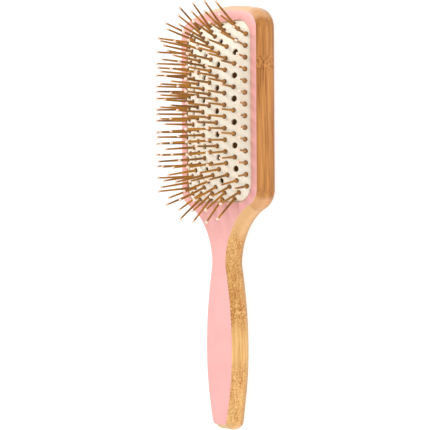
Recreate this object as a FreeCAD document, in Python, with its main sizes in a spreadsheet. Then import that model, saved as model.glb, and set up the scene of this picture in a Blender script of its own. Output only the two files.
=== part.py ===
import FreeCAD, Part
import math
import os
import Sketcher

# Paddle brush: a bamboo board with a lacquered front, a domed rubber cushion set in a pocket of
# its head, and eleven staggered columns of ball-tipped pins that stand on the cushion.
# Frame: the brush lies on its flat back, X across it, +Y from the grip to the head and +Z up
# through the pins. The origin is the middle of the back's length and width.

document = FreeCAD.newDocument("paddle_brush")

# ---------------------------------------------------------------- driving dimensions, in mm
DIMENSIONS = {
    # board
    "overall_length": 256.0,
    "head_width": 80.6,
    "board_thickness": 13.5,
    "top_bow_radius": 129.2,
    "head_corner_radius": 13.1,
    "shoulder_radius": 35.5,
    "neck_width": 19.3,
    "neck_below_middle": 28.0,
    "swell_radius": 220.0,
    "grip_width": 31.1,
    "grip_below_middle": 79.2,
    "taper_radius": 171.0,
    "grip_end_radius": 5.0,
    "side_bulge": 3.2,
    "bulge_depth": 6.2,
    "back_edge_radius": 4.8,
    # lacquer on the front
    "lacquer_thickness": 0.2,
    # pocket in the head, with the groove that holds the cushion's flange
    "cushion_above_middle": 63.5,
    "pocket_width": 63.9,
    "pocket_length": 108.6,
    "pocket_corner_radius": 11.9,
    "pocket_depth": 7.5,
    "groove_reach": 1.1,
    "groove_height": 1.8,
    "groove_depth": 0.8,
    # rubber cushion
    "cushion_gap": 0.4,
    "rubber_thickness": 1.4,
    "rim_below_face": 1.2,
    "dome_height": 12.3,
    "dome_fall_across": 0.78,
    "dome_power_across": 6.9,
    "dome_fall_along": 0.39,
    "dome_power_along": 8.6,
    "flange_reach": 1.3,
    "flange_overlap": 0.3,
    "vent_diameter": 3.8,
    # pins
    "column_pitch": 5.74,
    "row_pitch": 3.46,
    "pin_length": 19.8,
    "end_splay": 1.05,
    "neck_diameter": 1.5,
    "neck_clearance": 0.12,
    "collar_diameter": 2.8,
    "collar_top_diameter": 2.2,
    "collar_height": 0.7,
    "collar_lift": 0.2,
    "anchor_diameter": 2.8,
    "anchor_height": 0.8,
    "anchor_clearance": 0.2,
    "shaft_base_diameter": 1.55,
    "shaft_end_diameter": 1.05,
    "spigot_diameter": 0.7,
    "spigot_length": 0.9,
    "spigot_clearance": 0.03,
    "tip_diameter": 1.9,
    "tip_seat_depth": 0.15,
}

sheet = document.addObject("Spreadsheet::Sheet", "dimensions")
for row, (alias, value) in enumerate(DIMENSIONS.items(), start=1):
    sheet.set(f"A{row}", alias)
    sheet.set(f"B{row}", str(value))
    sheet.setAlias(f"B{row}", alias)
document.recompute()


def size(alias):
    """The sheet's value of one driving dimension."""
    return float(sheet.get(alias))


FACE_HEIGHT = size("board_thickness") + size("lacquer_thickness")


# ---------------------------------------------------------------- helpers for bodies
def new_body(label):
    body = document.addObject("PartDesign::Body", label)
    body.Label = label
    return body


def sketch_on(body, role, name, height="0"):
    """A sketch on one of the body's own origin planes, raised along the plane's normal."""
    plane = next(f for f in body.Origin.OriginFeatures if f.Role == role)
    sketch = body.newObject("Sketcher::SketchObject", name)
    sketch.AttachmentSupport = [(plane, "")]
    sketch.MapMode = "FlatFace"
    sketch.setExpression("AttachmentOffset.Base.z", height)
    return sketch


def pad(body, sketch, name, length):
    feature = body.newObject("PartDesign::Pad", name)
    feature.Profile = sketch
    feature.setExpression("Length", length)
    document.recompute()
    return feature


def pocket(body, sketch, name, length):
    """Cuts the sketch down into the body, and stops if it removes nothing."""
    before = body.Shape.Volume
    feature = body.newObject("PartDesign::Pocket", name)
    feature.Profile = sketch
    feature.setExpression("Length", length)
    document.recompute()
    if body.Shape.Volume > before - 1.0:
        raise RuntimeError(f"{name} cuts nothing")
    return feature


def mirror_across_middle(body, feature, name):
    """Doubles the half that stands on the +X side."""
    plane = next(f for f in body.Origin.OriginFeatures if f.Role == "YZ_Plane")
    mirrored = body.newObject("PartDesign::Mirrored", name)
    mirrored.Originals = [feature]
    mirrored.MirrorPlane = (plane, [""])
    mirrored.Refine = True
    body.Tip = mirrored
    document.recompute()
    return mirrored


def face_at(shape, height):
    """Name of the flat face at one height."""
    for number, face in enumerate(shape.Faces, start=1):
        box = face.BoundBox
        if box.ZLength < 1e-6 and abs(box.ZMin - height) < 1e-6:
            return f"Face{number}"
    raise RuntimeError(f"no flat face at {height}")


def bind(sketch, index, name, expression):
    sketch.renameConstraint(index, name)
    sketch.setExpression(f"Constraints.{name}", expression)


# ---------------------------------------------------------------- outline of the board
def arc(centre, radius, start, end):
    """Arc from the start point anticlockwise to the end point."""
    first = math.atan2(start[1] - centre[1], start[0] - centre[0])
    last = math.atan2(end[1] - centre[1], end[0] - centre[0])
    circle = Part.Circle(FreeCAD.Vector(*centre, 0), FreeCAD.Vector(0, 0, 1), radius)
    return Part.ArcOfCircle(circle, first, last)


def line(start, end):
    return Part.LineSegment(FreeCAD.Vector(*start, 0), FreeCAD.Vector(*end, 0))


def toward(centre, other, distance):
    """The point at a distance from one centre in the direction of another."""
    span = math.hypot(other[0] - centre[0], other[1] - centre[1])
    return (
        centre[0] + (other[0] - centre[0]) * distance / span,
        centre[1] + (other[1] - centre[1]) * distance / span,
    )


def draw_half_outline(sketch, inset_name=None):
    """The +X half of the board's outline, closed along the middle: a bowed top, a rounded corner,
    a straight side, a rounded lower corner, a concave shoulder into the neck, a slow swell, a
    taper and a rounded end. Each arc is tangent to the next. The inset moves the whole outline
    inwards."""
    inset = size(inset_name) if inset_name else 0.0
    less = f" - dimensions.{inset_name}" if inset_name else ""
    more = f" + dimensions.{inset_name}" if inset_name else ""

    top = size("overall_length") / 2 - inset
    side = size("head_width") / 2 - inset
    bow = size("top_bow_radius") - inset
    corner = size("head_corner_radius") - inset
    shoulder = size("shoulder_radius") + inset
    neck = size("neck_width") / 2 - inset
    neck_y = -size("neck_below_middle")
    swell = size("swell_radius") - inset
    grip = size("grip_width") / 2 - inset
    grip_y = -size("grip_below_middle")
    taper = size("taper_radius") - inset
    end = size("grip_end_radius") - inset

    bow_centre = (0, top - bow)
    upper_y = bow_centre[1] + math.sqrt((bow - corner) ** 2 - (side - corner) ** 2)
    upper_centre = (side - corner, upper_y)
    shoulder_centre = (neck + shoulder, neck_y)
    lower_run = shoulder_centre[0] - (side - corner)
    lower_y = neck_y + math.sqrt((shoulder + corner) ** 2 - lower_run**2)
    lower_centre = (side - corner, lower_y)
    swell_centre = (grip - swell, grip_y)
    reach = neck - swell_centre[0]
    drop = neck_y - grip_y
    hollow = (reach**2 + drop**2 - swell**2) / (2 * (swell - reach))
    hollow_centre = (neck + hollow, neck_y)
    taper_centre = (grip - taper, grip_y)
    end_y = -top + end
    end_x = taper_centre[0] + math.sqrt((taper - end) ** 2 - (end_y - grip_y) ** 2)
    end_centre = (end_x, end_y)

    crown = (0, top)
    top_joint = toward(bow_centre, upper_centre, bow)
    side_top = (side, upper_y)
    side_bottom = (side, lower_y)
    shoulder_joint = toward(lower_centre, shoulder_centre, corner)
    neck_point = (neck, neck_y)
    hollow_joint = toward(swell_centre, hollow_centre, swell)
    grip_point = (grip, grip_y)
    taper_joint = toward(taper_centre, end_centre, taper)
    end_joint = (end_x, -top)
    foot = (0, -top)

    # convex arcs run anticlockwise, from their lower point to their upper one
    elements = [
        arc(bow_centre, bow, top_joint, crown),
        arc(upper_centre, corner, side_top, top_joint),
        line(side_bottom, side_top),
        arc(lower_centre, corner, shoulder_joint, side_bottom),
        arc(shoulder_centre, shoulder, shoulder_joint, neck_point),
        arc(hollow_centre, hollow, neck_point, hollow_joint),
        arc(swell_centre, swell, grip_point, hollow_joint),
        arc(taper_centre, taper, taper_joint, grip_point),
        arc(end_centre, end, end_joint, taper_joint),
        line(foot, end_joint),
        line(crown, foot),
    ]
    BOW, UPPER, SIDE, LOWER, SHOULDER, HOLLOW, SWELL, TAPER, END, BASE, MIDDLE = range(11)
    START, FINISH, CENTRE = 1, 2, 3
    ORIGIN = (-1, 1)
    Y_AXIS = -2
    for element in elements:
        sketch.addGeometry(element, False)

    def constrain(kind, *terms):
        return sketch.addConstraint(Sketcher.Constraint(kind, *terms))

    for first, first_end, second, second_end in (
        (BOW, START, UPPER, FINISH),
        (UPPER, START, SIDE, FINISH),
        (SIDE, START, LOWER, FINISH),
        (LOWER, START, SHOULDER, START),
        (SHOULDER, FINISH, HOLLOW, START),
        (HOLLOW, FINISH, SWELL, FINISH),
        (SWELL, START, TAPER, FINISH),
        (TAPER, START, END, FINISH),
        (END, START, BASE, FINISH),
    ):
        constrain("Tangent", first, first_end, second, second_end)
    constrain("Coincident", MIDDLE, START, BOW, FINISH)
    constrain("Coincident", MIDDLE, FINISH, BASE, START)
    constrain("PointOnObject", MIDDLE, START, Y_AXIS)
    constrain("PointOnObject", MIDDLE, FINISH, Y_AXIS)
    constrain("PointOnObject", BOW, CENTRE, Y_AXIS)
    constrain("Vertical", SIDE)
    constrain("Horizontal", BASE)

    for element, name, radius, expression in (
        (BOW, "bow", bow, "dimensions.top_bow_radius" + less),
        (UPPER, "upper_corner", corner, "dimensions.head_corner_radius" + less),
        (LOWER, "lower_corner", corner, "dimensions.head_corner_radius" + less),
        (SHOULDER, "shoulder", shoulder, "dimensions.shoulder_radius" + more),
        (SWELL, "swell", swell, "dimensions.swell_radius" + less),
        (TAPER, "taper", taper, "dimensions.taper_radius" + less),
        (END, "end_corner", end, "dimensions.grip_end_radius" + less),
    ):
        bind(sketch, constrain("Radius", element, radius), name, expression)
    for point, name, distance, expression in (
        ((SIDE, START), "side", side, "dimensions.head_width / 2" + less),
        ((SHOULDER, FINISH), "neck", neck, "dimensions.neck_width / 2" + less),
        ((SWELL, START), "grip", grip, "dimensions.grip_width / 2" + less),
    ):
        bind(sketch, constrain("DistanceX", *ORIGIN, *point, distance), name, expression)
    half_length = "dimensions.overall_length / 2" + less
    bind(sketch, constrain("DistanceY", *ORIGIN, MIDDLE, START, top), "crown", half_length)
    for point, name, distance, expression in (
        ((BASE, START), "foot", top, half_length),
        ((SHOULDER, CENTRE), "shoulder_y", -neck_y, "dimensions.neck_below_middle"),
        ((HOLLOW, CENTRE), "hollow_y", -neck_y, "dimensions.neck_below_middle"),
        ((SWELL, CENTRE), "swell_y", -grip_y, "dimensions.grip_below_middle"),
        ((TAPER, CENTRE), "taper_y", -grip_y, "dimensions.grip_below_middle"),
    ):
        bind(sketch, constrain("DistanceY", *point, *ORIGIN, distance), name, expression)


def draw_rounded_rectangle(sketch, margin_name=None):
    """The cushion pocket's outline, grown outwards by a margin."""
    margin = size(margin_name) if margin_name else 0.0
    more = f" + dimensions.{margin_name}" if margin_name else ""
    half_x = size("pocket_width") / 2 + margin
    half_y = size("pocket_length") / 2 + margin
    radius = size("pocket_corner_radius") + margin
    middle = size("cushion_above_middle")
    inner_x = half_x - radius
    inner_top = middle + half_y - radius
    inner_foot = middle - half_y + radius
    elements = [
        line((inner_x, middle + half_y), (-inner_x, middle + half_y)),
        arc((-inner_x, inner_top), radius, (-inner_x, middle + half_y), (-half_x, inner_top)),
        line((-half_x, inner_top), (-half_x, inner_foot)),
        arc((-inner_x, inner_foot), radius, (-half_x, inner_foot), (-inner_x, middle - half_y)),
        line((-inner_x, middle - half_y), (inner_x, middle - half_y)),
        arc((inner_x, inner_foot), radius, (inner_x, middle - half_y), (half_x, inner_foot)),
        line((half_x, inner_foot), (half_x, inner_top)),
        arc((inner_x, inner_top), radius, (half_x, inner_top), (inner_x, middle + half_y)),
    ]
    START, FINISH = 1, 2
    for element in elements:
        sketch.addGeometry(element, False)

    def constrain(kind, *terms):
        return sketch.addConstraint(Sketcher.Constraint(kind, *terms))

    count = len(elements)
    for number in range(count):
        constrain("Tangent", number, FINISH, (number + 1) % count, START)
    constrain("Horizontal", 0)
    constrain("Horizontal", 4)
    constrain("Vertical", 2)
    constrain("Vertical", 6)
    for number in (3, 5, 7):
        constrain("Equal", 1, number)
    half_width = "dimensions.pocket_width / 2" + more
    bind(sketch, constrain("Radius", 1, radius), "corner", "dimensions.pocket_corner_radius" + more)
    bind(sketch, constrain("DistanceX", -1, 1, 6, START, half_x), "right", half_width)
    bind(sketch, constrain("DistanceX", 2, START, -1, 1, half_x), "left", half_width)
    for element, name, sign, height in (
        (0, "upper", "+", middle + half_y),
        (4, "lower", "-", middle - half_y),
    ):
        reach = f"{sign} (dimensions.pocket_length / 2{more})"
        index = constrain("DistanceY", -1, 1, element, START, height)
        bind(sketch, index, name, f"dimensions.cushion_above_middle {reach}")


# ---------------------------------------------------------------- board and lacquer
def make_board():
    """Bamboo board: flat front and back, sides that swell out below the front edge, a rounded
    back edge, and the pocket with an undercut groove all round."""
    body = new_body("bamboo_board")
    outline = sketch_on(body, "XY_Plane", "board_outline")
    draw_half_outline(outline)
    half = pad(body, outline, "board_half", "dimensions.board_thickness")
    whole = mirror_across_middle(body, half, "board_whole")

    bulge = body.newObject("PartDesign::Chamfer", "side_bulge")
    bulge.Base = (whole, [face_at(whole.Shape, size("board_thickness"))])
    bulge.ChamferType = "Two distances"
    bulge.setExpression("Size", "dimensions.side_bulge")
    bulge.setExpression("Size2", "dimensions.bulge_depth")
    document.recompute()

    back = body.newObject("PartDesign::Fillet", "back_edge")
    back.Base = (bulge, [face_at(bulge.Shape, 0)])
    back.setExpression("Radius", "dimensions.back_edge_radius")
    document.recompute()

    opening = sketch_on(body, "XY_Plane", "pocket_outline", "dimensions.board_thickness")
    draw_rounded_rectangle(opening)
    pocket(body, opening, "cushion_pocket", "dimensions.pocket_depth")

    groove_height = "dimensions.board_thickness - dimensions.groove_depth"
    undercut = sketch_on(body, "XY_Plane", "groove_outline", groove_height)
    draw_rounded_rectangle(undercut, "groove_reach")
    pocket(body, undercut, "flange_groove", "dimensions.groove_height")
    return body


def make_lacquer():
    """Lacquer film on the flat front, open over the pocket."""
    body = new_body("face_lacquer")
    outline = sketch_on(body, "XY_Plane", "lacquer_outline", "dimensions.board_thickness")
    draw_half_outline(outline, "side_bulge")
    half = pad(body, outline, "lacquer_half", "dimensions.lacquer_thickness")
    mirror_across_middle(body, half, "lacquer_whole")
    face = "dimensions.board_thickness + dimensions.lacquer_thickness"
    opening = sketch_on(body, "XY_Plane", "lacquer_opening", face)
    draw_rounded_rectangle(opening)
    pocket(body, opening, "lacquer_window", "dimensions.lacquer_thickness")
    return body


# ---------------------------------------------------------------- pin grid
# Columns run along the brush and are counted from the +X side. Rows are counted from the head's
# end, and neighbouring columns are staggered by one row.
COLUMNS = range(1, 12)
MIDDLE_COLUMN = 6
MIDDLE_ROW = 13
FIRST_FULL_ROW = 2
LAST_FULL_ROW = 24


def pin_rows(column):
    """Rows with a pin. Odd columns are full, and even columns give every other place to a vent."""
    if column in (1, 11):
        return list(range(0, 27, 2))
    if column % 2:
        return list(range(-2, 29, 2))
    if column in (2, 6, 10):
        return [-1, 1, *range(5, 22, 4), 25, 27]
    return [-1, *range(3, 28, 4)]


def vent_rows(column):
    if column in (2, 6, 10):
        return list(range(3, 24, 4))
    if column in (4, 8):
        return list(range(1, 26, 4))
    return []


def column_x(column):
    return (MIDDLE_COLUMN - column) * size("column_pitch")


def row_y(row):
    return (MIDDLE_ROW - row) * size("row_pitch")


# ---------------------------------------------------------------- rubber cushion
CUSHION_HALF_WIDTH = size("pocket_width") / 2 - size("cushion_gap")
CUSHION_HALF_LENGTH = size("pocket_length") / 2 - size("cushion_gap")
CUSHION_CORNER = size("pocket_corner_radius") - size("cushion_gap")
RIM_HEIGHT = FACE_HEIGHT - size("rim_below_face")
POCKET_FLOOR = size("board_thickness") - size("pocket_depth")
DOME_POINTS_ACROSS = 25
DOME_POINTS_ALONG = 41
DOME_OVERRUN = 1.03


def fall_off(distance, reach, direction):
    """How much of the dome's height is left at a distance from its middle, and the slope there.
    It falls as a square near the middle, and a higher power takes it down to the rim."""
    square = size(f"dome_fall_{direction}")
    power = size(f"dome_power_{direction}")
    share = abs(distance) / reach
    left = 1 - square * share**2 - (1 - square) * share**power
    slope = (2 * square * share + (1 - square) * power * share ** (power - 1)) / reach
    return left, math.copysign(slope, distance)


def dome(x, y):
    """Height of the cushion's top over a point given from the cushion's middle."""
    across, _ = fall_off(x, CUSHION_HALF_WIDTH, "across")
    along, _ = fall_off(y, CUSHION_HALF_LENGTH, "along")
    return RIM_HEIGHT + size("dome_height") * across * along


def slopes(x, y):
    """How steeply the dome falls in X and in Y at a point."""
    across, fall_x = fall_off(x, CUSHION_HALF_WIDTH, "across")
    along, fall_y = fall_off(y, CUSHION_HALF_LENGTH, "along")
    return size("dome_height") * fall_x * along, size("dome_height") * fall_y * across


def pin_direction(x, y):
    """Pins stand square to the dome, splayed a little further towards its two ends."""
    fall_x, fall_y = slopes(x, y)
    return FreeCAD.Vector(fall_x, fall_y * size("end_splay"), 1).normalize()


def rounded_block(half_x, half_y, radius, low, high):
    """Upright prism with rounded corners, centred on the cushion's middle."""
    block = Part.makeBox(
        2 * half_x, 2 * half_y, high - low, FreeCAD.Vector(-half_x, -half_y, low)
    )
    upright = [e for e in block.Edges if abs(e.BoundBox.ZLength - (high - low)) < 1e-6]
    return block.makeFillet(radius, upright)


def block_under_dome(depth):
    """Solid below a surface that lies a depth under the dome's top, measured square to it. It
    runs a little past the cushion's edge."""
    grid = []
    for i in range(DOME_POINTS_ACROSS):
        x = CUSHION_HALF_WIDTH * DOME_OVERRUN * (2 * i / (DOME_POINTS_ACROSS - 1) - 1)
        line_of_points = []
        for j in range(DOME_POINTS_ALONG):
            y = CUSHION_HALF_LENGTH * DOME_OVERRUN * (2 * j / (DOME_POINTS_ALONG - 1) - 1)
            upright_depth = depth * math.hypot(*slopes(x, y), 1)
            line_of_points.append(FreeCAD.Vector(x, y, dome(x, y) - upright_depth))
        grid.append(line_of_points)
    surface = Part.BSplineSurface()
    surface.interpolate(grid)
    return surface.toShape().extrude(FreeCAD.Vector(0, 0, -2 * FACE_HEIGHT))


def dome_sheet():
    """The domed diaphragm, of even thickness, with a rectangular edge."""
    return block_under_dome(0).cut(block_under_dome(size("rubber_thickness")))


def hole_through(x, y, diameter, direction):
    """Cutter for a round hole through the diaphragm, on an axis that meets the dome at a point."""
    reach = 2 * size("rubber_thickness")
    entry = FreeCAD.Vector(x, y, dome(x, y))
    return Part.makeCylinder(diameter / 2, 2 * reach, entry - direction * reach, direction)


def make_cushion():
    """Rubber cushion: a thin dome with a flange that sits in the pocket's groove, a hole for each
    pin's neck and open vents between the pins."""
    outline = rounded_block(
        CUSHION_HALF_WIDTH, CUSHION_HALF_LENGTH, CUSHION_CORNER, POCKET_FLOOR, 2 * FACE_HEIGHT
    )
    diaphragm = dome_sheet().common(outline)
    flange_low = RIM_HEIGHT - size("rubber_thickness")
    reach = size("flange_reach")
    overlap = size("flange_overlap")
    flange = rounded_block(
        CUSHION_HALF_WIDTH + reach,
        CUSHION_HALF_LENGTH + reach,
        CUSHION_CORNER + reach,
        flange_low,
        RIM_HEIGHT,
    )
    window = rounded_block(
        CUSHION_HALF_WIDTH - overlap,
        CUSHION_HALF_LENGTH - overlap,
        CUSHION_CORNER - overlap,
        flange_low - 1,
        RIM_HEIGHT + 1,
    )
    rubber = diaphragm.fuse(flange.cut(window))
    cutters = []
    for column in COLUMNS:
        x = column_x(column)
        for row in pin_rows(column):
            y = row_y(row)
            bore = size("neck_diameter") + 2 * size("neck_clearance")
            cutters.append(hole_through(x, y, bore, pin_direction(x, y)))
        for row in vent_rows(column):
            y = row_y(row)
            upright = FreeCAD.Vector(*slopes(x, y), 1).normalize()
            cutters.append(hole_through(x, y, size("vent_diameter"), upright))
    rubber = rubber.cut(cutters)
    if len(rubber.Solids) != 1 or rubber.BoundBox.ZMax < RIM_HEIGHT + size("dome_height") / 2:
        raise RuntimeError("the cushion isn't one domed solid")
    cushion = document.addObject("Part::Feature", "rubber_cushion")
    cushion.Label = "rubber_cushion"
    cushion.Shape = rubber.Solids[0]
    cushion.Placement = FreeCAD.Placement(
        FreeCAD.Vector(0, size("cushion_above_middle"), 0), FreeCAD.Rotation()
    )
    return cushion


# ---------------------------------------------------------------- one pin and one ball tip
# Both stand on +Z, with the origin on the cushion's top.
def primitive(kind, name, height, **sizes):
    """A Part primitive raised to a height, with each size bound to the sheet."""
    solid = document.addObject(kind, name)
    for prop, expression in sizes.items():
        solid.setExpression(prop, expression)
    solid.setExpression("Placement.Base.z", height)
    return solid


def make_pin_pattern():
    """Pin: a flat anchor below the rubber, a neck through it, a tapered collar that rests on it,
    and a tapered shaft that ends in a spigot for the ball tip."""
    d = "dimensions."
    anchor_top = f"(-{d}rubber_thickness - {d}anchor_clearance)"
    collar_top = f"({d}collar_lift + {d}collar_height)"
    shoulder = f"({d}pin_length - {d}tip_diameter + {d}tip_seat_depth)"
    pieces = [
        primitive(
            "Part::Cylinder",
            "anchor",
            f"{anchor_top} - {d}anchor_height",
            Radius=f"{d}anchor_diameter / 2",
            Height=f"{d}anchor_height",
        ),
        primitive(
            "Part::Cylinder",
            "neck",
            anchor_top,
            Radius=f"{d}neck_diameter / 2",
            Height=f"{d}collar_lift - {anchor_top}",
        ),
        primitive(
            "Part::Cone",
            "collar",
            f"{d}collar_lift",
            Radius1=f"{d}collar_diameter / 2",
            Radius2=f"{d}collar_top_diameter / 2",
            Height=f"{d}collar_height",
        ),
        primitive(
            "Part::Cone",
            "shaft",
            collar_top,
            Radius1=f"{d}shaft_base_diameter / 2",
            Radius2=f"{d}shaft_end_diameter / 2",
            Height=f"{shoulder} - {collar_top}",
        ),
        primitive(
            "Part::Cylinder",
            "spigot",
            shoulder,
            Radius=f"{d}spigot_diameter / 2",
            Height=f"{d}spigot_length",
        ),
    ]
    pin = document.addObject("Part::MultiFuse", "pin_pattern")
    pin.Shapes = pieces
    return pin


def make_tip_pattern():
    """Ball tip: a sphere with a flat seat on the shaft's shoulder and a socket over its spigot."""
    d = "dimensions."
    seat = f"({d}pin_length - {d}tip_diameter + {d}tip_seat_depth)"
    ball = primitive(
        "Part::Sphere",
        "ball",
        f"{d}pin_length - {d}tip_diameter / 2",
        Radius=f"{d}tip_diameter / 2",
        Angle1=f"-asin(1 - 2 * {d}tip_seat_depth / {d}tip_diameter)",
    )
    socket = primitive(
        "Part::Cylinder",
        "socket",
        seat,
        Radius=f"{d}spigot_diameter / 2 + {d}spigot_clearance",
        Height=f"{d}spigot_length + {d}spigot_clearance",
    )
    tip = document.addObject("Part::Cut", "tip_pattern")
    tip.Base = ball
    tip.Tool = socket
    return tip


# ---------------------------------------------------------------- pins in their places
def placed(pattern, column, row):
    """A copy of the pattern on the dome, at one place of the grid."""
    x = column_x(column)
    y = row_y(row)
    turn = FreeCAD.Rotation(FreeCAD.Vector(0, 0, 1), pin_direction(x, y))
    copy = pattern.Shape.copy()
    copy.Placement = FreeCAD.Placement(FreeCAD.Vector(x, y, dome(x, y)), turn)
    return copy


def make_group(label, pattern, places):
    """A group of equal pieces, each a solid of its own, that move as one."""
    group = document.addObject("Part::Feature", label)
    group.Label = label
    group.Shape = Part.makeCompound([placed(pattern, *place) for place in places])
    group.Placement = FreeCAD.Placement(
        FreeCAD.Vector(0, size("cushion_above_middle"), 0), FreeCAD.Rotation()
    )
    return group


def make_pins():
    """The middle stretch of each column, and the pins on the dome's two sloping ends."""
    groups = {}
    for column in COLUMNS:
        full = [r for r in pin_rows(column) if FIRST_FULL_ROW <= r <= LAST_FULL_ROW]
        groups[f"column_{column}"] = [(column, row) for row in full]
    places = [(column, row) for column in COLUMNS for row in pin_rows(column)]
    groups["head_end"] = [place for place in places if place[1] < FIRST_FULL_ROW]
    groups["grip_end"] = [place for place in places if place[1] > LAST_FULL_ROW]
    made = []
    for prefix, pattern in (("pins", make_pin_pattern()), ("tips", make_tip_pattern())):
        document.recompute()
        for name, group in groups.items():
            made.append(make_group(f"{prefix}_{name}", pattern, group))
    return made


# ---------------------------------------------------------------- build, check and write
def check_document():
    document.recompute()
    for item in document.Objects:
        if "Invalid" in item.State or "Error" in item.State:
            raise RuntimeError(f"{item.Label} failed: {item.State}")


def write_parts(parts):
    os.makedirs("parts", exist_ok=True)
    for part in parts:
        if part.Shape.isNull() or not part.Shape.isValid():
            raise RuntimeError(f"{part.Label} has no valid shape")
        part.Shape.exportStep(f"parts/{part.Label}.step")


nodes = [make_board(), make_lacquer(), make_cushion(), *make_pins()]
check_document()
write_parts(nodes)
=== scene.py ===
import math
import random

import bmesh
import bpy
from mathutils import Euler, Matrix, Vector
from mathutils.geometry import delaunay_2d_cdt


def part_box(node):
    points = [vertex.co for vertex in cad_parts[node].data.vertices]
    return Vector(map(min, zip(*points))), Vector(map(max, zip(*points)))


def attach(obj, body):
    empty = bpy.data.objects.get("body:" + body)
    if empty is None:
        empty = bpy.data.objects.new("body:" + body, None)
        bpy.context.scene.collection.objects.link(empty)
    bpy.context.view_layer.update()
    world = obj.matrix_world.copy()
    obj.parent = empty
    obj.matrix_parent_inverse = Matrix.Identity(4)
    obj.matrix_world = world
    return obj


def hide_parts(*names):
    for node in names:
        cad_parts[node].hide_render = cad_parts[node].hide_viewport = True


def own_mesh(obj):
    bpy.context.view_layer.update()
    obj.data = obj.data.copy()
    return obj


# Paddle brush: bamboo board, satin front, vented rubber cushion and ball-tipped wooden pins.
# Lengths are in millimetres until a mesh is made, and the frame is the CAD model's own.
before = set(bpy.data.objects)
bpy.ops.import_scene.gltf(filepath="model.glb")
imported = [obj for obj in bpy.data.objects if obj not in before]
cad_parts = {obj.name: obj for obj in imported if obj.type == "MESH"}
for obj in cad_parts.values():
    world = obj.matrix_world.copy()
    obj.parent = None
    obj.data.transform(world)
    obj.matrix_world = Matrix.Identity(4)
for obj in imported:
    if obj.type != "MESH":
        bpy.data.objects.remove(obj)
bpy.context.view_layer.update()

MM = 0.001


def box_mm(node):
    low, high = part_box(node)
    return low / MM, high / MM


# ---------------------------------------------------------------- sizes
BOARD_HIGH = box_mm("bamboo_board")[1]
FACE_HIGH = box_mm("face_lacquer")[1]
RUBBER_LOW, RUBBER_HIGH = box_mm("rubber_cushion")

HALF_LENGTH = BOARD_HIGH.y
HALF_WIDTH = BOARD_HIGH.x
BOARD_TOP = BOARD_HIGH.z
FACE_TOP = FACE_HIGH.z
FACE_INSET = HALF_WIDTH - FACE_HIGH.x
BOW_RADIUS = 129.2
CORNER_RADIUS = 13.1
SHOULDER_RADIUS = 35.5
NECK_HALF = 9.65
NECK_Y = -28.0
SWELL_RADIUS = 220.0
GRIP_HALF = 15.55
GRIP_Y = -79.2
TAPER_RADIUS = 171.0
END_RADIUS = 5.0
# Width and height of the back edge's round: on the head, on the grip and at the grip's end.
HEAD_ROUND = (4.6, 4.6)
GRIP_ROUND = (6.0, 7.3)
END_ROUND = (4.4, 6.4)
END_ROUND_REACH = 14.0
BULGE_HEIGHT = 7.3
EASE = 0.3  # share of an eased edge's size that is left halfway round it

FLANGE_REACH = 1.3
CUSHION_GAP = 0.4
CUSHION_Y = (RUBBER_LOW.y + RUBBER_HIGH.y) / 2
CUSHION_HALF_X = RUBBER_HIGH.x - FLANGE_REACH
CUSHION_HALF_Y = (RUBBER_HIGH.y - RUBBER_LOW.y) / 2 - FLANGE_REACH
CUSHION_CORNER = 11.5
RUBBER = 1.4
RIM = FACE_TOP - 1.2
DOME_HEIGHT = 12.3
# The share of the dome's fall that goes with the square of the distance, and the rest's power.
DOME_ACROSS = (0.78, 6.9)
DOME_ALONG = (0.39, 8.6)
POCKET_FLOOR = BOARD_TOP - 7.5
GROOVE_TOP = BOARD_TOP - 0.8
GROOVE_FLOOR = GROOVE_TOP - 1.8
GROOVE_REACH = 1.1
VENT_RADIUS = 1.9
PIN_HOLE_RADIUS = 0.84

COLUMNS = range(1, 12)
COLUMN_PITCH = 5.74
ROW_PITCH = 3.46
MIDDLE_COLUMN = 6
MIDDLE_ROW = 13
FIRST_FULL_ROW = 2
LAST_FULL_ROW = 24
PIN_LENGTH = 19.8
END_SPLAY = 1.05
TIP_RADIUS = 0.95
TIP_SEAT = PIN_LENGTH - 2 * TIP_RADIUS + 0.15


# ---------------------------------------------------------------- meshes
class Shell:
    """Points and faces of one piece, in millimetres, gathered ring by ring."""

    def __init__(self):
        self.points = []
        self.faces = []
        self.slots = []

    def add(self, points):
        first = len(self.points)
        self.points.extend(Vector(p) for p in points)
        return list(range(first, len(self.points)))

    def face(self, corners, slot=0):
        self.faces.append(corners)
        self.slots.append(slot)

    def bridge(self, first, second, slot=0):
        """Quads between two closed rings, or triangles where one of them is a single point."""
        count = max(len(first), len(second))
        for i in range(count):
            j = (i + 1) % count
            if len(first) == 1:
                self.face((first[0], second[j], second[i]), slot)
            elif len(second) == 1:
                self.face((first[i], first[j], second[0]), slot)
            else:
                self.face((first[i], first[j], second[j], second[i]), slot)

    def tower(self, rings, slot=0):
        for first, second in zip(rings, rings[1:]):
            self.bridge(first, second, slot)

    def object(self, name, materials, crease=35):
        mesh = bpy.data.meshes.new(name)
        mesh.from_pydata([p * MM for p in self.points], [], self.faces)
        for material in materials:
            mesh.materials.append(material)
        mesh.polygons.foreach_set("material_index", self.slots)
        work = bmesh.new()
        work.from_mesh(mesh)
        bmesh.ops.recalc_face_normals(work, faces=work.faces)
        work.to_mesh(mesh)
        work.free()
        mesh.shade_smooth()
        mesh.set_sharp_from_angle(angle=math.radians(crease))
        made = bpy.data.objects.new(name, mesh)
        bpy.context.scene.collection.objects.link(made)
        return made


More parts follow.
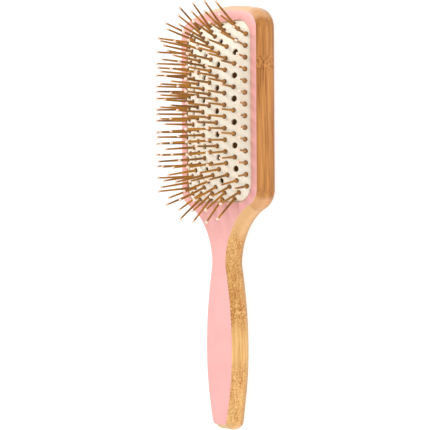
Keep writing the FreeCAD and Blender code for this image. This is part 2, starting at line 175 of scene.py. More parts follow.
def triangulated(shell, loops, free=()):
    """Triangles that fill the first loop of indices, less the other loops, and take in the free
    points as corners."""
    inside_only = 1
    closeness = 1e-6
    edges = []
    first = 0
    for loop in loops:
        edges += [(first + i, first + (i + 1) % len(loop)) for i in range(len(loop))]
        first += len(loop)
    order = [i for loop in loops for i in loop] + list(free)
    flat = [shell.points[i].to_2d() for i in order]
    result = delaunay_2d_cdt(flat, edges, [], inside_only, closeness)
    triangles, sources = result[2], result[3]
    hole_of = {i: n for n, loop in enumerate(loops) if n for i in loop}
    made = []
    for triangle in triangles:
        corners = [order[sources[i][0]] for i in triangle]
        holes = {hole_of.get(i) for i in corners}
        if len(holes) > 1 or None in holes:
            made.append(corners)
    return made


# ---------------------------------------------------------------- outline of the board
def swept(centre, radius, first, last, outward=1, step=1.0):
    """Points of an arc with their outward normals, from one angle to another."""
    count = max(4, math.ceil(abs(last - first) * radius / step))
    points = []
    for i in range(count):
        angle = first + (last - first) * i / count
        across, along = math.cos(angle), math.sin(angle)
        place = (centre[0] + radius * across, centre[1] + radius * along)
        points.append((*place, outward * across, outward * along))
    return points


def straight(start, end, normal, step=2.0):
    count = math.ceil(math.dist(start, end) / step)
    points = []
    for i in range(count):
        share = i / count
        x = start[0] + (end[0] - start[0]) * share
        y = start[1] + (end[1] - start[1]) * share
        points.append((x, y, *normal))
    return points


def board_outline():
    """The board's widest outline as (x, y, normal x, normal y), all round from the grip's end."""
    corner_x = HALF_WIDTH - CORNER_RADIUS
    bow_y = HALF_LENGTH - BOW_RADIUS
    upper_y = bow_y + math.sqrt((BOW_RADIUS - CORNER_RADIUS) ** 2 - corner_x**2)
    shoulder_x = NECK_HALF + SHOULDER_RADIUS
    run = shoulder_x - corner_x
    lower_y = NECK_Y + math.sqrt((SHOULDER_RADIUS + CORNER_RADIUS) ** 2 - run**2)
    swell_x = GRIP_HALF - SWELL_RADIUS
    reach = NECK_HALF - swell_x
    drop = NECK_Y - GRIP_Y
    hollow = (reach**2 + drop**2 - SWELL_RADIUS**2) / (2 * (SWELL_RADIUS - reach))
    hollow_x = NECK_HALF + hollow
    taper_x = GRIP_HALF - TAPER_RADIUS
    end_y = END_RADIUS - HALF_LENGTH
    end_x = taper_x + math.sqrt((TAPER_RADIUS - END_RADIUS) ** 2 - (end_y - GRIP_Y) ** 2)

    taper_turn = math.atan2(end_y - GRIP_Y, end_x - taper_x)
    swell_turn = math.atan2(drop, hollow_x - swell_x)
    shoulder_turn = math.atan2(lower_y - NECK_Y, corner_x - shoulder_x)
    bow_turn = math.atan2(upper_y - bow_y, corner_x)
    half = [
        *straight((0, -HALF_LENGTH), (end_x, -HALF_LENGTH), (0, -1)),
        *swept((end_x, end_y), END_RADIUS, -math.pi / 2, taper_turn, step=0.5),
        *swept((taper_x, GRIP_Y), TAPER_RADIUS, taper_turn, 0),
        *swept((swell_x, GRIP_Y), SWELL_RADIUS, 0, swell_turn),
        *swept((hollow_x, NECK_Y), hollow, math.pi + swell_turn, math.pi, outward=-1),
        *swept((shoulder_x, NECK_Y), SHOULDER_RADIUS, math.pi, shoulder_turn, outward=-1),
        *swept((corner_x, lower_y), CORNER_RADIUS, shoulder_turn - math.pi, 0, step=0.6),
        *straight((HALF_WIDTH, lower_y), (HALF_WIDTH, upper_y), (1, 0)),
        *swept((corner_x, upper_y), CORNER_RADIUS, 0, bow_turn, step=0.6),
        *swept((0, bow_y), BOW_RADIUS, bow_turn, math.pi / 2),
        (0, HALF_LENGTH, 0, 1),
    ]
    return half + [(-x, y, -across, along) for x, y, across, along in reversed(half[1:-1])]


OUTLINE = board_outline()


def inset_ring(inset, height):
    return [(x - across * inset, y - along * inset, height) for x, y, across, along in OUTLINE]


def back_round(y):
    """Width and height of the back edge's round, which is fullest along the grip."""
    if y > NECK_Y:
        share, start, end = y / NECK_Y, HEAD_ROUND, GRIP_ROUND
    else:
        share, start, end = (y + HALF_LENGTH) / END_ROUND_REACH, END_ROUND, GRIP_ROUND
    share = min(max(share, 0), 1)
    return [low + (high - low) * share for low, high in zip(start, end)]


def back_ring(turn):
    """Ring part way round the back edge."""
    points = []
    for x, y, across, along in OUTLINE:
        width, height = back_round(y)
        inset = width * (1 - math.cos(turn))
        points.append((x - across * inset, y - along * inset, height * (1 - math.sin(turn))))
    return points


def pocket_ring(margin, height, corner_steps=14):
    """Rounded rectangle that is a margin outside the cushion's own outline."""
    half_x = CUSHION_HALF_X + margin
    half_y = CUSHION_HALF_Y + margin
    radius = CUSHION_CORNER + margin
    side_steps = 22
    points = []
    for turn, (sign_x, sign_y) in enumerate(((1, 1), (-1, 1), (-1, -1), (1, -1))):
        centre = Vector((sign_x * (half_x - radius), sign_y * (half_y - radius)))
        for i in range(corner_steps + 1):
            angle = (turn + i / corner_steps) * math.pi / 2
            points.append(centre + radius * Vector((math.cos(angle), math.sin(angle))))
        last = points[-1]
        if turn % 2:
            target = Vector((last.x, -last.y))
        else:
            target = Vector((-last.x, last.y))
        points += [last.lerp(target, i / side_steps) for i in range(1, side_steps)]
    return [(p.x, p.y + CUSHION_Y, height) for p in points]


# ---------------------------------------------------------------- board and lacquer
def side_rings():
    """Rings down the board's side: a crisp front arris, a slow swell out to the widest line, and
    a round into the flat back."""
    arris = 0.18
    cut = arris * EASE
    start = Vector((FACE_INSET, BOARD_TOP - arris))
    widest = Vector((0, BULGE_HEIGHT))
    start_handle = Vector((FACE_INSET * 0.62, BOARD_TOP - 2.9))
    widest_handle = Vector((0, BULGE_HEIGHT + 2.1))
    profile = [(FACE_INSET + arris, BOARD_TOP), (FACE_INSET + cut, BOARD_TOP - cut)]
    steps = 12
    for i in range(steps + 1):
        t = i / steps
        s = 1 - t
        upper = s**3 * start + 3 * s * s * t * start_handle
        lower = 3 * s * t * t * widest_handle + t**3 * widest
        profile.append(upper + lower)
    rings = [inset_ring(inset, height) for inset, height in profile]
    return rings + [back_ring(math.pi / 2 * i / steps) for i in range(1, steps + 1)]


def make_board(material):
    shell = Shell()
    rings = [shell.add(ring) for ring in side_rings()]
    shell.tower(rings)
    lip = 0.15
    gap = CUSHION_GAP
    steps = (
        (gap + lip, BOARD_TOP),
        (gap + lip * EASE, BOARD_TOP - lip * EASE),
        (gap, BOARD_TOP - lip),
        (gap, GROOVE_TOP),
        (gap + GROOVE_REACH, GROOVE_TOP),
        (gap + GROOVE_REACH, GROOVE_FLOOR),
        (gap, GROOVE_FLOOR),
        (gap, POCKET_FLOOR),
    )
    walls = [shell.add(pocket_ring(*step)) for step in steps]
    shell.tower(walls)
    for loops in ([rings[0], walls[0]], [rings[-1]], [walls[-1]]):
        for corners in triangulated(shell, loops):
            shell.face(corners)
    board = shell.object("board_wood", [material])
    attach(board, "handle")
    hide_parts("bamboo_board")


def make_lacquer(material):
    """Film of lacquer with a soft outer edge and a rounded lip at the pocket."""
    shell = Shell()
    soft = 0.12
    outer = [
        (FACE_INSET, BOARD_TOP),
        (FACE_INSET, FACE_TOP - soft),
        (FACE_INSET + soft * EASE, FACE_TOP - soft * EASE),
        (FACE_INSET + soft, FACE_TOP),
    ]
    gap = CUSHION_GAP
    inner = [
        (gap, BOARD_TOP),
        (gap, FACE_TOP - soft),
        (gap + soft * EASE, FACE_TOP - soft * EASE),
        (gap + soft, FACE_TOP),
    ]
    rings = [shell.add(inset_ring(*p)) for p in outer]
    walls = [shell.add(pocket_ring(*p)) for p in inner]
    shell.tower(rings)
    shell.tower(walls)
    for end in (0, -1):
        for corners in triangulated(shell, [rings[end], walls[end]]):
            shell.face(corners)
    film = shell.object("front_lacquer", [material])
    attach(film, "handle")
    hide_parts("face_lacquer")


# ---------------------------------------------------------------- pin grid and dome
def pin_rows(column):
    """Rows with a pin. Odd columns are full, and even ones give every other place to a vent."""
    if column in (1, 11):
        return list(range(0, 27, 2))
    if column % 2:
        return list(range(-2, 29, 2))
    if column in (2, 6, 10):
        return [-1, 1, *range(5, 22, 4), 25, 27]
    return [-1, *range(3, 28, 4)]


def vent_rows(column):
    if column in (2, 6, 10):
        return list(range(3, 24, 4))
    if column in (4, 8):
        return list(range(1, 26, 4))
    return []


def place_of(column, row):
    """Place on the cushion, from the cushion's middle."""
    return (MIDDLE_COLUMN - column) * COLUMN_PITCH, (MIDDLE_ROW - row) * ROW_PITCH


def fall_off(distance, reach, shape):
    """How much of the dome's height is left at a distance from its middle, and the slope there."""
    square, power = shape
    share = min(abs(distance) / reach, 1)
    left = 1 - square * share**2 - (1 - square) * share**power
    slope = (2 * square * share + (1 - square) * power * share ** (power - 1)) / reach
    return left, math.copysign(slope, distance)


def dome(x, y):
    across, _ = fall_off(x, CUSHION_HALF_X, DOME_ACROSS)
    along, _ = fall_off(y, CUSHION_HALF_Y, DOME_ALONG)
    return RIM + DOME_HEIGHT * across * along


def dome_normal(x, y, splay=1.0):
    across, fall_x = fall_off(x, CUSHION_HALF_X, DOME_ACROSS)
    along, fall_y = fall_off(y, CUSHION_HALF_Y, DOME_ALONG)
    lean = Vector((fall_x * along, fall_y * across * splay)) * DOME_HEIGHT
    return Vector((lean.x, lean.y, 1)).normalized()


# ---------------------------------------------------------------- rubber cushion
# Each ring of a lip: its distance from the hole's edge, and its height over the dome.
VENT_LIP = ((0.0, -0.16), (0.08, -0.05), (0.22, 0.03), (0.5, 0.05), (0.95, 0.0))
PIN_LIP = ((0.0, -0.1), (0.12, -0.02), (0.35, 0.02), (0.75, 0.05), (1.15, 0.0))


def hole_rings(shell, x, y, axis, radius, lip, segments):
    """Rings round one hole, from its edge out, each at its own height over the dome."""
    side = axis.cross(Vector((0, 1, 0))).normalized()
    other = axis.cross(side)
    rings = []
    for reach, lift in lip:
        ring = []
        for i in range(segments):
            angle = 2 * math.pi * i / segments
            p = (radius + reach) * (math.cos(angle) * side + math.sin(angle) * other)
            ring.append((x + p.x, y + p.y, dome(x + p.x, y + p.y) + lift))
        rings.append(shell.add(ring))
    return rings


def cushion_lattice(circles):
    """Free points of the dome a millimetre apart, clear of the circles and the rim."""
    rim_clear = 1.6
    points = []
    for i in range(int(-CUSHION_HALF_X), int(CUSHION_HALF_X) + 1):
        for j in range(int(-CUSHION_HALF_Y), int(CUSHION_HALF_Y) + 1):
            x = i + 0.5 * (j % 2)
            y = float(j)
            corner_x = max(0.0, abs(x) - CUSHION_HALF_X + CUSHION_CORNER)
            corner_y = max(0.0, abs(y) - CUSHION_HALF_Y + CUSHION_CORNER)
            if math.hypot(corner_x, corner_y) > CUSHION_CORNER - rim_clear:
                continue
            if any(math.hypot(x - c[0], y - c[1]) < c[2] for c in circles):
                continue
            points.append((x, y))
    return points


def cushion_rims(shell):
    """The dome's edge, and two rings just inside it."""
    rims = []
    for inset in (0.0, 0.35, 0.9):
        ring = [(x, y - CUSHION_Y) for x, y, _ in pocket_ring(-inset, 0)]
        rims.append(shell.add([(x, y, dome(x, y)) for x, y in ring]))
    return rims


def cushion_holes(shell):
    """The edge of every hole, the other rings of its lip, the axis of each of their points, and
    the circles that the lattice keeps out of."""
    kinds = (
        (pin_rows, PIN_HOLE_RADIUS, PIN_LIP, 16, END_SPLAY),
        (vent_rows, VENT_RADIUS, VENT_LIP, 28, 1.0),
    )
    lattice_clear = 0.45
    edges = []
    lips = []
    axes = {}
    circles = []
    for rows, radius, lip, segments, splay in kinds:
        for column in COLUMNS:
            for row in rows(column):
                x, y = place_of(column, row)
                axis = dome_normal(x, y, splay)
                rings = hole_rings(shell, x, y, axis, radius, lip, segments)
                edges.append(rings[0])
                lips += rings[1:]
                axes.update((i, axis) for ring in rings for i in ring)
                circles.append((x, y, radius + lip[-1][0] + lattice_clear))
    return edges, lips, axes, circles


def cushion_flange(shell, edge, under_edge):
    """The flange that runs out from the dome's edge into the board's groove."""
    soft = 0.12
    steps = (
        (soft, RIM - soft),
        (FLANGE_REACH, RIM - soft),
        (FLANGE_REACH, RIM - RUBBER),
    )
    rings = [edge]
    for step in steps:
        rings.append(shell.add([(x, y - CUSHION_Y, z) for x, y, z in pocket_ring(*step)]))
    shell.tower([*rings, under_edge])


def make_cushion(material):
    """Domed diaphragm of even thickness, with a hole for each pin and open vents with soft lips."""
    shell = Shell()
    rims = cushion_rims(shell)
    holes, lips, axes, circles = cushion_holes(shell)
    lattice = shell.add([(x, y, dome(x, y)) for x, y in cushion_lattice(circles)])
    free = [i for ring in [*rims[1:], *lips] for i in ring] + lattice
    top_faces = triangulated(shell, [rims[0], *holes], free)

    under = []
    for i, point in enumerate(shell.points[:]):
        axis = axes.get(i) or dome_normal(point.x, point.y)
        under += shell.add([point - axis * RUBBER])
    for corners in top_faces:
        shell.face(corners)
        shell.face([under[i] for i in reversed(corners)])
    for hole in holes:
        shell.bridge(hole, [under[i] for i in hole])
    cushion_flange(shell, rims[0], [under[i] for i in rims[0]])
    for point in shell.points:
        point.y += CUSHION_Y
    cushion = shell.object("cushion_dome", [material], crease=50)
    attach(cushion, "handle")
    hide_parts("rubber_cushion")
    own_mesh(cushion)


# ---------------------------------------------------------------- pins and tips
SHAFT, COLLAR = 0, 1


def pin_profile():
    """(radius, height, slot) up a pin: anchor, neck, rounded collar, and a tapered shaft that
    ends in the spigot inside the ball."""
    soft = 0.12
    anchor_top = -(RUBBER + 0.2)
    anchor_foot = anchor_top - 0.8
    anchor = 1.4
    neck = 0.75
    collar_foot = 0.1
    collar = 1.5
    crown = 1.2
    crown_height = 0.9
    base = 0.775
    end = 0.525
    spigot = 0.35
    profile = [
        (0, anchor_foot, COLLAR),
        (anchor - soft, anchor_foot, COLLAR),
        (anchor, anchor_foot + soft, COLLAR),
        (anchor, anchor_top - soft, COLLAR),
        (anchor - soft, anchor_top, COLLAR),
        (neck, anchor_top, COLLAR),
        (neck, collar_foot, COLLAR),
        (collar - soft, collar_foot, COLLAR),
        (collar, collar_foot + soft, COLLAR),
        (collar - 0.03, collar_foot + 0.3, COLLAR),
        (crown + soft, crown_height - soft, COLLAR),
        (crown, crown_height - 0.03, COLLAR),
        (crown - soft, crown_height, COLLAR),
        (base + 0.16, crown_height + 0.04, SHAFT),
        (base + 0.05, crown_height + 0.16, SHAFT),
    ]
    rings = 9
    start = crown_height + 0.4
    for i in range(rings + 1):
        share = i / rings
        profile.append((base + (end - base) * share, start + (TIP_SEAT - start) * share, SHAFT))
    profile += [
        (spigot, TIP_SEAT, SHAFT),
        (spigot, TIP_SEAT + 0.8, SHAFT),
        (0, TIP_SEAT + 0.9, SHAFT),
    ]
    return profile


def tip_profile():
    """Up and over a ball, then down inside its socket."""
    centre = PIN_LENGTH - TIP_RADIUS
    socket = 0.38
    lowest = math.asin((TIP_SEAT - centre) / TIP_RADIUS)
    rings = 11
    profile = [(socket, TIP_SEAT + 0.93, 0), (socket, TIP_SEAT, 0)]
    for i in range(rings):
        angle = lowest + (math.pi / 2 - lowest) * i / rings
        profile.append((TIP_RADIUS * math.cos(angle), centre + TIP_RADIUS * math.sin(angle), 0))
    profile.append((0, PIN_LENGTH, 0))
    return [(0, TIP_SEAT + 0.93, 0), *profile]


def lathe(shell, profile, segments, turn, place):
    """A turned shape stood at a place: each ring is bridged to the last with its own slot."""
    last = None
    for radius, height, slot in profile:
        if radius == 0:
            ring = [(0, 0, height)]
        else:
            angles = [2 * math.pi * i / segments for i in range(segments)]
            ring = [(radius * math.cos(a), radius * math.sin(a), height) for a in angles]
        indices = shell.add([turn @ Vector(p) + place for p in ring])
        if last:
            shell.bridge(last, indices, slot)
        last = indices


def stands():
    """Each pin's group, place and turn. Pins lean a little off square, as pressed-in pins do."""
    chance = random.Random(11)
    spread = math.radians(0.7)
    found = {}
    for column in COLUMNS:
        for row in pin_rows(column):
            if row < FIRST_FULL_ROW:
                group = "head_end"
            elif row > LAST_FULL_ROW:
                group = "grip_end"
            else:
                group = f"column_{column}"
            x, y = place_of(column, row)
            lean = Euler((chance.gauss(0, spread), chance.gauss(0, spread), 0)).to_matrix()
            spin = Matrix.Rotation(chance.uniform(0, 2 * math.pi), 3, "Z")
            square = Vector((0, 0, 1)).rotation_difference(dome_normal(x, y, END_SPLAY))
            place = Vector((x, y + CUSHION_Y, dome(x, y)))
            found.setdefault(group, []).append((square.to_matrix() @ lean @ spin, place))
    return found


def make_pins(shaft, collar, resin):
    segments = 20
    for group, members in sorted(stands().items()):
        pins = Shell()
        tips = Shell()
        for turn, place in members:
            lathe(pins, pin_profile(), segments, turn, place)
            lathe(tips, tip_profile(), segments, turn, place)
        for made, node, slot in (
            (pins.object(f"turned_pins_{group}", [shaft, collar]), f"pins_{group}", "pin_wood"),
            (tips.object(f"ball_tips_{group}", [resin]), f"tips_{group}", "tip_resin"),
        ):
            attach(made, group)
            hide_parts(node)


# ---------------------------------------------------------------- materials
def colour(red, green, blue):
    """Linear colour with alpha, from screen values of 0 to 255."""
    linear = []
    for value in (red, green, blue):
        share = value / 255
        linear.append(share / 12.92 if share <= 0.04045 else ((share + 0.055) / 1.055) ** 2.4)
    return (*linear, 1.0)


class Recipe:
    """A material under construction. Its place is the row frame's own, in millimetres."""

    def __init__(self, name, **settings):
        self.material = bpy.data.materials.new(name)
        self.material.use_nodes = True
        self.tree = self.material.node_tree
        self.shader = self.tree.nodes["Principled BSDF"]
        for key, value in settings.items():
            self.shader.inputs[key.replace("_", " ")].default_value = value
        coordinates = self.tree.nodes.new("ShaderNodeTexCoord")
        self.place = self.scaled(coordinates.outputs["Object"], (1 / MM, 1 / MM, 1 / MM))
        self.normal = coordinates.outputs["Normal"]

    def node(self, kind, inputs, output=0, **settings):
        made = self.tree.nodes.new(kind)
        for key, value in settings.items():
            setattr(made, key, value)
        for key, value in inputs.items():
            if isinstance(value, bpy.types.NodeSocket):
                self.tree.links.new(value, made.inputs[key])
            else:
                made.inputs[key].default_value = value
        return made.outputs[output]

    def scaled(self, vector, scale):
        return self.node("ShaderNodeVectorMath", {0: vector, 1: scale}, operation="MULTIPLY")

    def shifted(self, vector, amount):
        return self.node("ShaderNodeVectorMath", {0: vector, 1: amount}, operation="ADD")

    def math(self, operation, first, second=0.0, third=0.0, clamp=False):
        inputs = {0: first, 1: second, 2: third}
        return self.node("ShaderNodeMath", inputs, operation=operation, use_clamp=clamp)

    def centred(self, value):
        """A value from nought to one, moved to lie about nought."""
        return self.math("SUBTRACT", value, 0.5)

    def split(self, vector):
        made = self.tree.nodes.new("ShaderNodeSeparateXYZ")
        self.tree.links.new(vector, made.inputs[0])
        return made.outputs

    def noise(self, place, scale, detail=2.0, roughness=0.5, output=0):
        inputs = {"Vector": place, "Scale": scale, "Detail": detail, "Roughness": roughness}
        return self.node("ShaderNodeTexNoise", inputs, output)

    def cells(self, place, scale):
        return self.node("ShaderNodeTexVoronoi", {"Vector": place, "Scale": scale})

    def spread(self, value, low, high, new_low=0.0, new_high=1.0):
        """Maps a value's range smoothly onto another, and holds it there."""
        inputs = {"Value": value, 1: low, 2: high, 3: new_low, 4: new_high}
        return self.node("ShaderNodeMapRange", inputs, interpolation_type="SMOOTHSTEP")

    def steps(self, factor, shades):
        """Cuts a factor's range into equal steps, each with its own shade."""
        stops = [(i / len(shades), shade) for i, shade in enumerate(shades)]
        made = self.tree.nodes.new("ShaderNodeValToRGB")
        made.color_ramp.interpolation = "CONSTANT"
        elements = made.color_ramp.elements
        while len(elements) < len(stops):
            elements.new(1.0)
        for element, (position, shade) in zip(elements, stops):
            element.position = position
            element.color = shade
        self.tree.links.new(factor, made.inputs[0])
        return made.outputs[0]

    def mix(self, factor, first, second):
        inputs = {0: factor, 6: first, 7: second}
        return self.node("ShaderNodeMix", inputs, 2, data_type="RGBA")

    def bump(self, height, depth, below=None):
        """Raises the surface by up to a depth in millimetres, over an earlier bump."""
        inputs = {"Height": height, "Distance": depth * MM, "Strength": 1.0}
        if below:
            inputs["Normal"] = below
        return self.node("ShaderNodeBump", inputs)

    def finish(self, base, normal=None, roughness=None):
        self.tree.links.new(base, self.shader.inputs["Base Color"])
        if normal:
            self.tree.links.new(normal, self.shader.inputs["Normal"])
        if roughness:
            self.tree.links.new(roughness, self.shader.inputs["Roughness"])
        return self.material


STRIP_COUNT = 5
STRIP_WIDTH = 23.5
STRIP_EDGE = 29.7
KNOT_SPACING = 100.0
KNOT_SHIFTS = (0.86, 0.44, 0.14, 0.06, 0.59)


def strip_tones(recipe, strip):
    """Each strip's darkest fibre, palest fibre and end grain, the end grain made paler with painted
    sheen.
    """
    dark = (
        colour(153, 89, 33),
        colour(155, 91, 35),
        colour(170, 106, 42),
        colour(180, 110, 38),
        colour(135, 71, 17),
    )
    light = (
        colour(217, 155, 89),
        colour(221, 161, 95),
        colour(232, 182, 116),
        colour(250, 203, 131),
        colour(219, 151, 81),
    )
    # End-grain tones, paler than the wood's own end grain: painted sheen.
    ends = (
        colour(227, 176, 128),
        colour(229, 180, 132),
        colour(232, 188, 135),
        colour(230, 182, 130),
        colour(227, 172, 122),
    )
    return [recipe.steps(strip, shades) for shades in (dark, light, ends)]


def knot_bands(recipe, y, strip):
    """One inside a knot's band and nought elsewhere. Each strip has its knots at its own places."""
    shift = recipe.steps(strip, [(s, s, s, 1) for s in KNOT_SHIFTS])
    along = recipe.math("ADD", recipe.math("DIVIDE", y, KNOT_SPACING), shift)
    from_knot = recipe.math("ABSOLUTE", recipe.centred(recipe.math("FRACT", along)))
    return recipe.spread(from_knot, 0.054, 0.026)


def fibre_place(recipe, knot):
    """The place carried along fibres that waver slowly, and swerve at a knot."""
    slow = recipe.noise(recipe.scaled(recipe.place, (0.03, 0.012, 0.03)), 1.0, 1.0, output=1)
    quick = recipe.noise(recipe.scaled(recipe.place, (0.45, 0.22, 0.45)), 1.0, 1.0, output=1)
    middle = (-0.5, -0.5, -0.5)
    waver = recipe.scaled(recipe.shifted(slow, middle), (5.0, 0.0, 5.0))
    reach = recipe.math("MULTIPLY_ADD", knot, 1.7, 0.2)
    reach_vector = recipe.node("ShaderNodeCombineXYZ", {0: reach, 2: reach})
    ripple = recipe.scaled(recipe.shifted(quick, middle), reach_vector)
    return recipe.shifted(recipe.shifted(recipe.place, waver), ripple)


def pore_dashes(recipe, fibre):
    """Short dashes where the fibres' dark bundles are cut through."""
    dashes = recipe.noise(recipe.scaled(fibre, (2.1, 1.1, 2.1)), 1.0, 1.0)
    return recipe.spread(dashes, 0.40, 0.64)


def side_grain(recipe, x, y, fibre, knot, aslant, dashes):
    """How pale the long grain is, with the streaks and the pores that also raise it."""
    streaks = recipe.noise(recipe.scaled(fibre, (0.65, 0.016, 0.65)), 1.0, 3.0, 0.7)
    lines = recipe.noise(recipe.scaled(fibre, (1.5, 0.02, 1.5)), 1.0, 1.0)
    dots = recipe.spread(recipe.cells(recipe.scaled(fibre, (1.5, 0.9, 1.5)), 1.0), 0.45, 0.15)
    broad = recipe.noise(recipe.scaled(fibre, (0.2, 0.02, 0.2)), 1.0, 2.0)
    mottle = recipe.noise(recipe.scaled(fibre, (0.55, 0.5, 0.55)), 1.0, 3.0, 0.7)

    tone = recipe.math("MULTIPLY_ADD", recipe.centred(broad), 1.1, 0.76)
    streak_depth = recipe.math("MULTIPLY_ADD", aslant, -1.0, 1.9)
    tone = recipe.math("ADD", tone, recipe.math("MULTIPLY", recipe.centred(streaks), streak_depth))
    tone = recipe.math("MULTIPLY_ADD", recipe.spread(lines, 0.56, 0.70), -0.28, tone)
    speckle = recipe.math("MULTIPLY", recipe.math("MULTIPLY_ADD", dots, 0.55, dashes), aslant)
    faded = recipe.spread(y, -85.0, -122.0, 0.0, 0.16)
    tone = recipe.math("ADD", tone, faded)
    speckle_depth = recipe.spread(recipe.math("ABSOLUTE", x), 28.0, 34.0, -0.54, -0.16)
    tone = recipe.math("MULTIPLY_ADD", speckle, speckle_depth, tone)
    patches = recipe.math("MULTIPLY", recipe.spread(mottle, 0.40, 0.62, -1.0, 1.0), knot)
    tone = recipe.math("MULTIPLY_ADD", patches, 0.30, tone, clamp=True)
    return tone, streaks, speckle


def end_grain_and_sheen(recipe, y, fibre, slope, dashes, tones):
    """End grain made pale with painted sheen, and palest across the head's top, where a painted
    highlight lies.
    """
    dark, light, ends = tones
    shade = recipe.noise(recipe.scaled(fibre, (1.1, 0.2, 0.25)), 1.0, 2.0)
    shade = recipe.math("MULTIPLY", recipe.spread(shade, 0.3, 0.7), 0.30)
    base = recipe.mix(shade, ends, light)
    base = recipe.mix(recipe.math("MULTIPLY", dashes, 0.10), base, dark)
    # Painted highlight: the head's top end is made paler and pinkish, for light falling on it from
    # above.
    paler = recipe.spread(y, 95.0, 124.0, 0.0, 0.6)
    paler = recipe.math("MULTIPLY", paler, recipe.spread(slope, 0.65, 0.95))
    return recipe.mix(paler, base, colour(230, 196, 178))


def bamboo():
    """Edge-glued bamboo strips cut from the solid: fibres along the board, with dark streaks where
    a side runs with them, short dashes where it cuts them aslant, end grain where it cuts across
    them, made pale with painted sheen, a mottled band at each knot, and painted shade towards the
    back."""
    recipe = Recipe(
        "oiled_bamboo", Coat_Weight=0.08, Coat_Roughness=0.3, Specular_IOR_Level=0.28
    )
    x, y, z = recipe.split(recipe.place)
    slope = recipe.math("ABSOLUTE", recipe.split(recipe.normal)[1])
    across = recipe.spread(slope, 0.28, 0.58)
    from_neck = recipe.math("ABSOLUTE", recipe.math("SUBTRACT", y, NECK_Y))
    at_neck = recipe.spread(from_neck, 12.0, 6.0)
    aslant = recipe.math("MAXIMUM", recipe.spread(slope, 0.015, 0.08), at_neck)

    from_edge = recipe.math("SUBTRACT", x, STRIP_EDGE - (STRIP_COUNT - 1) * STRIP_WIDTH)
    strip = recipe.math("DIVIDE", from_edge, STRIP_COUNT * STRIP_WIDTH)
    tones = strip_tones(recipe, strip)
    knot = knot_bands(recipe, y, strip)
    fibre = fibre_place(recipe, knot)
    dashes = pore_dashes(recipe, fibre)
    tone, streaks, speckle = side_grain(recipe, x, y, fibre, knot, aslant, dashes)
    side = recipe.mix(tone, tones[0], tones[1])
    # Where a side cuts across the fibres it takes the end grain's colour, which carries painted
    # sheen.
    base = recipe.mix(across, side, end_grain_and_sheen(recipe, y, fibre, slope, dashes, tones))

    within = recipe.math("FRACT", recipe.math("MULTIPLY", strip, STRIP_COUNT))
    joint = recipe.spread(recipe.math("ABSOLUTE", recipe.centred(within)), 0.488, 0.499)
    base = recipe.mix(recipe.math("MULTIPLY", joint, 0.5), base, colour(116, 71, 35))
    # Painted shade: the wood is made darker towards the back face and the back edge's round,
    # standing in for the shade under the board's back edge.
    base = recipe.mix(recipe.spread(z, 7.0, 1.0, 0.0, 0.5), base, colour(145, 97, 56))

    grain = recipe.bump(streaks, 0.03)
    pores = recipe.bump(recipe.math("SUBTRACT", 1.0, speckle), 0.03, grain)
    roughness = recipe.spread(streaks, 0.2, 0.8, 0.38, 0.54)
    return recipe.finish(base, pores, roughness)


def lacquer():
    """Satin pink lacquer, laid thin enough for a trace of the grain below to show."""
    recipe = Recipe("pink_lacquer", Coat_Weight=0.2, Coat_Roughness=0.3, Specular_IOR_Level=0.45)
    clouds = recipe.noise(recipe.place, 0.06, 2.0)
    base = recipe.mix(recipe.spread(clouds, 0.3, 0.7), colour(243, 176, 171), colour(244, 181, 176))
    stretched = recipe.scaled(recipe.place, (1.0, 0.03, 1.0))
    trace = recipe.noise(stretched, 1.6, 3.0, 0.6)
    base = recipe.mix(recipe.spread(trace, 0.55, 0.85, 0.0, 0.10), base, colour(229, 165, 155))
    grain = recipe.bump(trace, 0.012)
    skin = recipe.bump(recipe.noise(recipe.place, 1.4, 2.0), 0.010, grain)
    roughness = recipe.spread(recipe.noise(recipe.place, 0.25, 3.0), 0.3, 0.7, 0.40, 0.50)
    return recipe.finish(base, skin, roughness)


def rubber():
    """Cream natural rubber, matt and finely mottled, with a bloom of paler specks."""
    recipe = Recipe("cream_rubber", Specular_IOR_Level=0.3, Sheen_Weight=0.08)
    clouds = recipe.noise(recipe.place, 0.12, 2.0)
    base = recipe.mix(recipe.spread(clouds, 0.3, 0.7), colour(253, 244, 224), colour(255, 250, 234))
    warm = recipe.spread(recipe.noise(recipe.place, 1.1, 2.0, 0.6), 0.52, 0.72, 0.0, 0.5)
    base = recipe.mix(warm, base, colour(248, 230, 200))
    cool = recipe.spread(recipe.noise(recipe.shifted(recipe.place, (9, 4, 7)), 1.5, 2.0), 0.56, 0.72)
    base = recipe.mix(recipe.math("MULTIPLY", cool, 0.5), base, colour(232, 232, 226))
    bloom = recipe.spread(recipe.cells(recipe.place, 1.3), 0.16, 0.05, 0.0, 0.6)
    base = recipe.mix(bloom, base, colour(255, 253, 246))
    skin = recipe.bump(recipe.noise(recipe.place, 1.8, 4.0, 0.65), 0.05)
    roughness = recipe.spread(clouds, 0.2, 0.8, 0.62, 0.78)
    return recipe.finish(base, skin, roughness)


def turned_wood(name, dark, light, seed):
    """Golden-brown turned wood with its grain along the pins."""
    recipe = Recipe(name, Coat_Weight=0.25, Coat_Roughness=0.2, Specular_IOR_Level=0.45)
    place = recipe.shifted(recipe.place, (seed, seed, seed))
    each = recipe.noise(recipe.scaled(place, (0.14, 0.20, 0.02)), 1.0, 1.0)
    grain = recipe.noise(recipe.scaled(place, (1.0, 1.0, 0.12)), 3.0, 3.0, 0.6)
    tone = recipe.math("MULTIPLY_ADD", recipe.centred(each), 1.6, 0.5)
    tone = recipe.math("MULTIPLY_ADD", recipe.centred(grain), 1.0, tone, clamp=True)
    base = recipe.mix(tone, dark, light)
    normal = recipe.bump(grain, 0.02)
    roughness = recipe.spread(grain, 0.2, 0.8, 0.34, 0.50)
    return recipe.finish(base, normal, roughness)


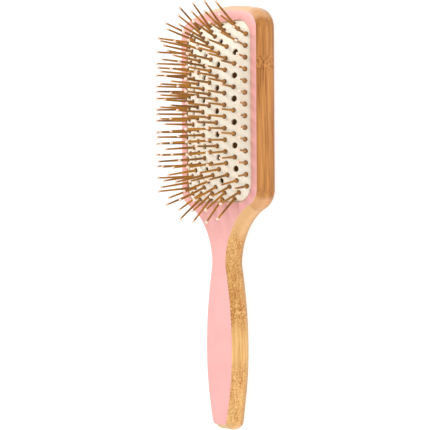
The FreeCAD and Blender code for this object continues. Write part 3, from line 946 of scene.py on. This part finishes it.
def resin():
    """Pale peach ball tips, a little milky."""
    recipe = Recipe(
        "tip_resin", Subsurface_Weight=0.15, Subsurface_Scale=0.0006, Specular_IOR_Level=0.5
    )
    each = recipe.noise(recipe.place, 0.17, 1.0)
    base = recipe.mix(recipe.spread(each, 0.3, 0.7), colour(246, 214, 190), colour(250, 228, 212))
    skin = recipe.noise(recipe.place, 2.4, 2.0)
    roughness = recipe.spread(skin, 0.2, 0.8, 0.26, 0.38)
    return recipe.finish(base, recipe.bump(skin, 0.01), roughness)


# ---------------------------------------------------------------- stage, light and camera
# The camera that lays the brush's outline over the photo's: metres, degrees and millimetres.
CAMERA_PLACE = (0.796348, -0.001206, 0.618036)
CAMERA_TURN = (-0.2524, 52.9226, -0.5231)
CAMERA_LENS = 138.471
CAMERA_SENSOR = 36


def make_floor():
    """A pale sweep that glows a little, as a lit table does."""
    size = 3000.0
    drop = -0.02
    shell = Shell()
    corners = ((-size, -size, drop), (size, -size, drop), (size, size, drop), (-size, size, drop))
    shell.face(shell.add(corners))
    recipe = Recipe("pale_floor", Roughness=0.8, Specular_IOR_Level=0.1)
    recipe.shader.inputs["Emission Color"].default_value = (1, 1, 1, 1)
    recipe.shader.inputs["Emission Strength"].default_value = 0.85
    clouds = recipe.noise(recipe.place, 0.004, 2.0)
    base = recipe.mix(clouds, colour(140, 140, 140), colour(146, 146, 146))
    floor = shell.object("floor", [recipe.finish(base)])


def make_lamp(name, direction, distance, size, power):
    """A square soft light that looks at the brush from a direction."""
    aim = Vector((0, 0.02, 0.01))
    data = bpy.data.lights.new(name, "AREA")
    data.shape = "SQUARE"
    data.size = size
    data.energy = power
    lamp = bpy.data.objects.new(name, data)
    toward = Vector(direction).normalized()
    lamp.location = aim + toward * distance
    lamp.rotation_euler = toward.to_track_quat("Z", "Y").to_euler()
    bpy.context.scene.collection.objects.link(lamp)


def make_light():
    world = bpy.data.worlds.new("studio")
    world.use_nodes = True
    world.node_tree.nodes["Background"].inputs["Color"].default_value = (1.0, 0.995, 0.985, 1)
    world.node_tree.nodes["Background"].inputs["Strength"].default_value = 0.64
    bpy.context.scene.world = world
    make_lamp("key", (-0.5, 0.7, 0.85), distance=1.1, size=0.6, power=7.8)
    make_lamp("side", (1.0, -0.55, 0.5), distance=1.1, size=0.8, power=3.2)
    make_lamp("fill", (0.1, -0.9, 0.8), distance=1.2, size=0.8, power=1.6)
    bpy.context.scene.view_settings.view_transform = "Standard"


def make_camera():
    data = bpy.data.cameras.new("camera")
    data.sensor_width = CAMERA_SENSOR
    data.lens = CAMERA_LENS
    camera = bpy.data.objects.new("camera", data)
    camera.location = CAMERA_PLACE
    camera.rotation_euler = [math.radians(a) for a in CAMERA_TURN]
    bpy.context.scene.collection.objects.link(camera)
    bpy.context.scene.camera = camera


make_camera()
make_light()
make_floor()
make_board(bamboo())
make_lacquer(lacquer())
make_cushion(rubber())
make_pins(
    turned_wood("pin_shafts", colour(104, 60, 4), colour(214, 146, 36), 3),
    # The collars get a darker copy of the pins' wood: partly the end grain of their tops, partly
    # painted shade.
    turned_wood("pin_collars", colour(88, 52, 14), colour(148, 94, 32), 8),
    resin(),
)
